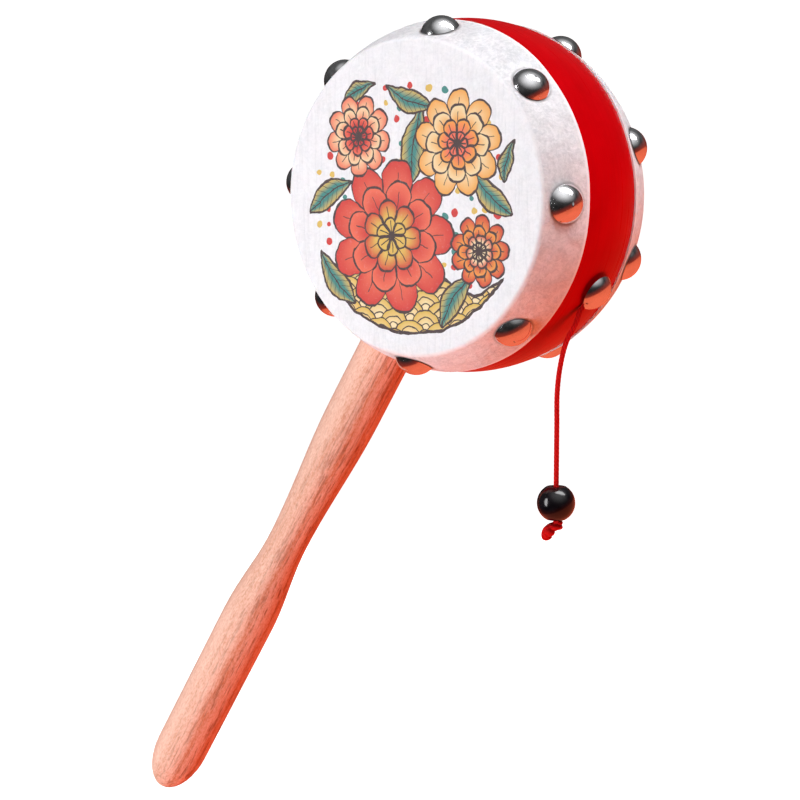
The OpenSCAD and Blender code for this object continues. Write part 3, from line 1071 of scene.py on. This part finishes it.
def lacquer_material(settings):
    """Red lacquer brushed round the band, with slight ripples and dust under the gloss."""
    material, shader = new_material("red_lacquer")
    place = own_place(material)
    axes = axes_of(place)
    angle = calc("ARCTAN2", axes[2], axes[0])
    brushed = add("ShaderNodeCombineXYZ", {
        "X": calc("COSINE", angle), "Y": axes[1] * 1500.0, "Z": calc("SINE", angle)})[0]
    brush = grains(brushed, 1.3, 4.0)[0]
    dust = add("ShaderNodeTexVoronoi", {"Vector": place, "Scale": 620.0})["Distance"]
    speck = spread(dust, 0.04, 0.12, 1.0, 0.0)
    share = spread(grains(place, 90.0, 3.0)[0] * 0.7 + brush * 0.3, 0.35, 0.65)
    colour = mix(share, settings.lacquer, settings.lacquer_deep)
    fill(shader, {
        "Base Color": mix(speck * 0.25, colour, settings.lacquer_deep),
        "Roughness": spread(brush, 0.3, 0.7, 0.26, 0.36),
        "Normal": bump(brush * 0.6 + speck * 0.35, LACQUER_BUMP),
        "Specular Tint": (1.0, 0.05, 0.08),
        "Specular IOR Level": 0.06,
    })
    return material


def metal_material(settings):
    """Bright plated steel with faint smudges and hairline scratches."""
    material, shader = new_material("tack_metal")
    place = own_place(material)
    smudge = grains(place, 330.0, 4.0, 0.6)[0]
    hair = grains(vector("MULTIPLY", place, (5200.0, 700.0, 2100.0)), 1.0, 3.0)[0]
    scratch = spread(hair, 0.66, 0.72)
    dull = spread(smudge, 0.45, 0.7) * 0.25
    fill(shader, {
        "Base Color": mix(dull, settings.metal, Vector(settings.metal) * 0.72),
        "Roughness": spread(smudge, 0.4, 0.72, 0.09, 0.2) + scratch * 0.1,
        "Normal": bump(smudge + scratch, METAL_BUMP),
        "Metallic": 1.0,
    })
    return material


def bead_material(settings):
    """Black polished bead with a trace of handling marks."""
    material, shader = new_material("black_bead")
    marks = grains(own_place(material), 480.0, 5.0, 0.7)[0]
    colour = mix(spread(marks, 0.45, 0.7), settings.bead, Vector(settings.bead) * 2.6)
    fill(shader, {
        "Base Color": colour,
        "Roughness": spread(marks, 0.4, 0.75, 0.14, 0.24),
        "Normal": bump(marks, BEAD_BUMP),
        "Specular IOR Level": 0.3,
        "Coat Weight": 0.6,
        "Coat Roughness": 0.12,
    })
    return material


class RATTLE_OT_handle(bpy.types.Operator):
    """Gives the turned handle its wood"""

    bl_idname = "rattle.handle"
    bl_label = "Handle"

    def execute(self, context):
        paint(frame["nodes"]["handle"], wood_material(context.scene.rattle_finish))
        return {"FINISHED"}


class RATTLE_OT_shell(bpy.types.Operator):
    """Lacquers the shell"""

    bl_idname = "rattle.shell"
    bl_label = "Shell"

    def execute(self, context):
        paint(frame["nodes"]["shell"], lacquer_material(context.scene.rattle_finish))
        return {"FINISHED"}


class RATTLE_OT_nails(bpy.types.Operator):
    """Plates the nails"""

    bl_idname = "rattle.nails"
    bl_label = "Nails"

    def execute(self, context):
        material = metal_material(context.scene.rattle_finish)
        for node in ("front_tacks", "rear_tacks", "right_cord_tack", "left_cord_tack"):
            paint(frame["nodes"][node], material)
        return {"FINISHED"}


class RATTLE_OT_beads(bpy.types.Operator):
    """Polishes the two black beads"""

    bl_idname = "rattle.beads"
    bl_label = "Beads"

    def execute(self, context):
        material = bead_material(context.scene.rattle_finish)
        for side in ROUTES:
            paint(frame["nodes"][side + "_bead"], material)
        return {"FINISHED"}


# Studio

FLOOR_R = 1.5
WALL_H = 2.0
SENSOR_MM = 36
NEAR_CLIP = 10 * MM
# The lamps: name, place from the drum's centre and size in metres, power, whether it is warm and whether the
# bright parts mirror it
LAMPS = [
    ("main_box", (-0.4, -0.88, -0.4), (0.6, 0.6), "main_power", False, False),
    ("side_box", (0.33, -0.04, 0.33), (0.25, 0.25), "side_power", False, False),
    ("top_box", (0.42, 0.0, 0.8), (0.9, 0.36), "top_power", False, True),
    ("strip", (-0.477, -0.879, 0.06), (0.34, 0.75), "strip_power", False, True),
    ("warm_bounce", (0.4, 0.12, -0.6), (0.6, 0.6), "warm_power", True, False),
    ("back_box", (-0.55, 0.95, 0.2), (0.6, 0.6), "back_power", False, False),
]


def soft_box(name, place, size, power, colour, mirrored):
    """An oval lamp that faces the drum, with its width level in the camera's view."""
    data = bpy.data.lights.new(name, "AREA")
    data.shape = "ELLIPSE"
    data.size, data.size_y = size
    data.energy = power
    data.color = colour
    turn = bpy.context.scene.rattle_studio.camera_turn
    back = Vector(place).normalized()
    right = Vector((math.cos(turn), math.sin(turn), 0.0))
    right = (right - back * right.dot(back)).normalized()
    lamp = bpy.data.objects.new(name, data)
    lamp.location = CENTRE + Vector(place)
    lamp.rotation_euler = Matrix((right, back.cross(right), back)).transposed().to_euler()
    lamp.visible_camera = False
    lamp.visible_glossy = mirrored
    bpy.context.scene.collection.objects.link(lamp)
    return lamp


def studio_air(settings):
    """What the bright parts mirror: a dark room, a glow overhead and a warm backdrop below and behind."""
    world = bpy.data.worlds.new("studio_air")
    world.use_nodes = True
    way = add("ShaderNodeTexCoord", tree=world.node_tree)["Generated"]
    cloudy = spread(grains(way, 2.2, 2.0)[0], 0.3, 0.7, 0.5, 1.4)
    room = spread(axes_of(way)[2], -0.2, 1.0, 0.02, 0.12) * cloudy
    toward_glow = spread(measure("DOT_PRODUCT", way, tuple(settings.glow_way)), 0.5, 1.0)
    room = room + calc("POWER", toward_glow, 1.8) * settings.glow
    grey = add("ShaderNodeCombineColor", {0: room, 1: room, 2: room})[0]
    toward_backdrop = measure("DOT_PRODUCT", way, tuple(settings.backdrop_way))
    colour = mix(spread(toward_backdrop, 0.05, 0.4, 0.0, 0.6), grey, settings.backdrop_edge)
    lit = mix(spread(toward_backdrop, 0.36, 0.8, 0.65, 1.0), settings.backdrop_edge, settings.backdrop)
    colour = mix(spread(toward_backdrop, 0.42, 0.48), colour, lit)
    fill(world.node_tree.nodes["Background"], {"Color": colour})
    return world


def floor_material():
    """Pale matt card with a faint tooth."""
    material, shader = new_material("pale_card")
    source = add("ShaderNodeTexCoord", tree=material.node_tree)["Object"]
    colour = mix(grains(source, 240.0, 4.0)[0], (0.97, 0.97, 0.97), (0.93, 0.93, 0.93))
    fill(shader, {"Base Color": colour, "Emission Color": colour, "Emission Strength": 1.1, "Roughness": 0.9})
    return material


class RATTLE_OT_studio(bpy.types.Operator):
    """Sets up the floor, the lamps and the camera"""

    bl_idname = "rattle.studio"
    bl_label = "Studio"

    def execute(self, context):
        scene = context.scene
        settings = scene.rattle_studio
        deselect_all()
        bpy.ops.mesh.primitive_circle_add(
            vertices=128, radius=FLOOR_R, fill_type="TRIFAN",
            location=(CENTRE.x, CENTRE.y, -settings.floor_depth))
        floor = settle(bpy.context.object)
        floor.name = "floor"
        edit_rim(floor)
        middle = (CENTRE.x, CENTRE.y, 0.0)
        rise_steps = 12
        for k in range(1, rise_steps + 1):
            turn = math.pi / 2 * k / rise_steps
            last = math.pi / 2 * (k - 1) / rise_steps
            rise = FLOOR_R * (math.cos(last) - math.cos(turn))
            share = (1 + math.sin(turn)) / (1 + math.sin(last))
            bpy.ops.mesh.extrude_edges_move(TRANSFORM_OT_translate={"value": (0, 0, rise)})
            bpy.ops.transform.resize(value=(share, share, 1), center_override=middle)
        bpy.ops.mesh.extrude_edges_move(TRANSFORM_OT_translate={"value": (0, 0, WALL_H)})
        end_edit()
        smooth(floor, 60)
        floor.data.materials.append(floor_material())
        floor.visible_glossy = False
        floor.visible_diffuse = False
        floor.visible_shadow = False
        for name, place, size, power, warm, mirrored in LAMPS:
            colour = tuple(settings.warm) if warm else (1.0, 1.0, 1.0)
            soft_box(name, place, size, getattr(settings, power), colour, mirrored)
        scene.world = studio_air(settings)
        scene.world.cycles_visibility.diffuse = False

        camera_data = bpy.data.cameras.new("camera")
        camera_data.lens = settings.lens
        camera_data.sensor_width = SENSOR_MM
        camera_data.clip_start = NEAR_CLIP
        camera = bpy.data.objects.new("camera", camera_data)
        camera.location = CENTRE + Vector(settings.camera_place)
        camera.rotation_euler = (math.pi / 2 - settings.camera_height, 0, settings.camera_turn)
        scene.collection.objects.link(camera)
        scene.camera = camera
        scene.view_settings.view_transform = "Standard"
        return {"FINISHED"}


SETTINGS = {
    "rattle_studio": StudioSettings,
    "rattle_cord": CordSettings,
    "rattle_skin": SkinSettings,
    "rattle_print": PrintSettings,
    "rattle_finish": FinishSettings,
}
OPERATORS = [
    RATTLE_OT_studio,
    RATTLE_OT_cords,
    RATTLE_OT_skins,
    RATTLE_OT_shell,
    RATTLE_OT_handle,
    RATTLE_OT_nails,
    RATTLE_OT_beads,
]


class RATTLE_PT_panel(bpy.types.Panel):
    """Sizes and colours of the rattle, and the steps that make it"""

    bl_label = "Pellet drum rattle"
    bl_idname = "RATTLE_PT_panel"
    bl_space_type = "VIEW_3D"
    bl_region_type = "UI"
    bl_category = "Rattle"

    def draw(self, context):
        for name in SETTINGS:
            settings = getattr(context.scene, name)
            box = self.layout.box()
            box.label(text=settings.bl_rna.description)
            for key in settings.bl_rna.properties.keys():
                if key not in ("rna_type", "name"):
                    box.prop(settings, key)
        for operator in OPERATORS:
            self.layout.operator(operator.bl_idname)


CLASSES = [*SETTINGS.values(), *OPERATORS, RATTLE_PT_panel]


def register():
    for cls in CLASSES:
        bpy.utils.register_class(cls)
    for name, cls in SETTINGS.items():
        setattr(bpy.types.Scene, name, PointerProperty(type=cls))


def unregister():
    for name in SETTINGS:
        delattr(bpy.types.Scene, name)
    for cls in reversed(CLASSES):
        bpy.utils.unregister_class(cls)


def main():
    register()
    bpy.ops.rattle.studio()
    bpy.ops.rattle.cords()
    bpy.ops.rattle.skins()
    bpy.ops.rattle.shell()
    bpy.ops.rattle.handle()
    bpy.ops.rattle.nails()
    bpy.ops.rattle.beads()
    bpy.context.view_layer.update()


if __name__ == "__main__":
    main()
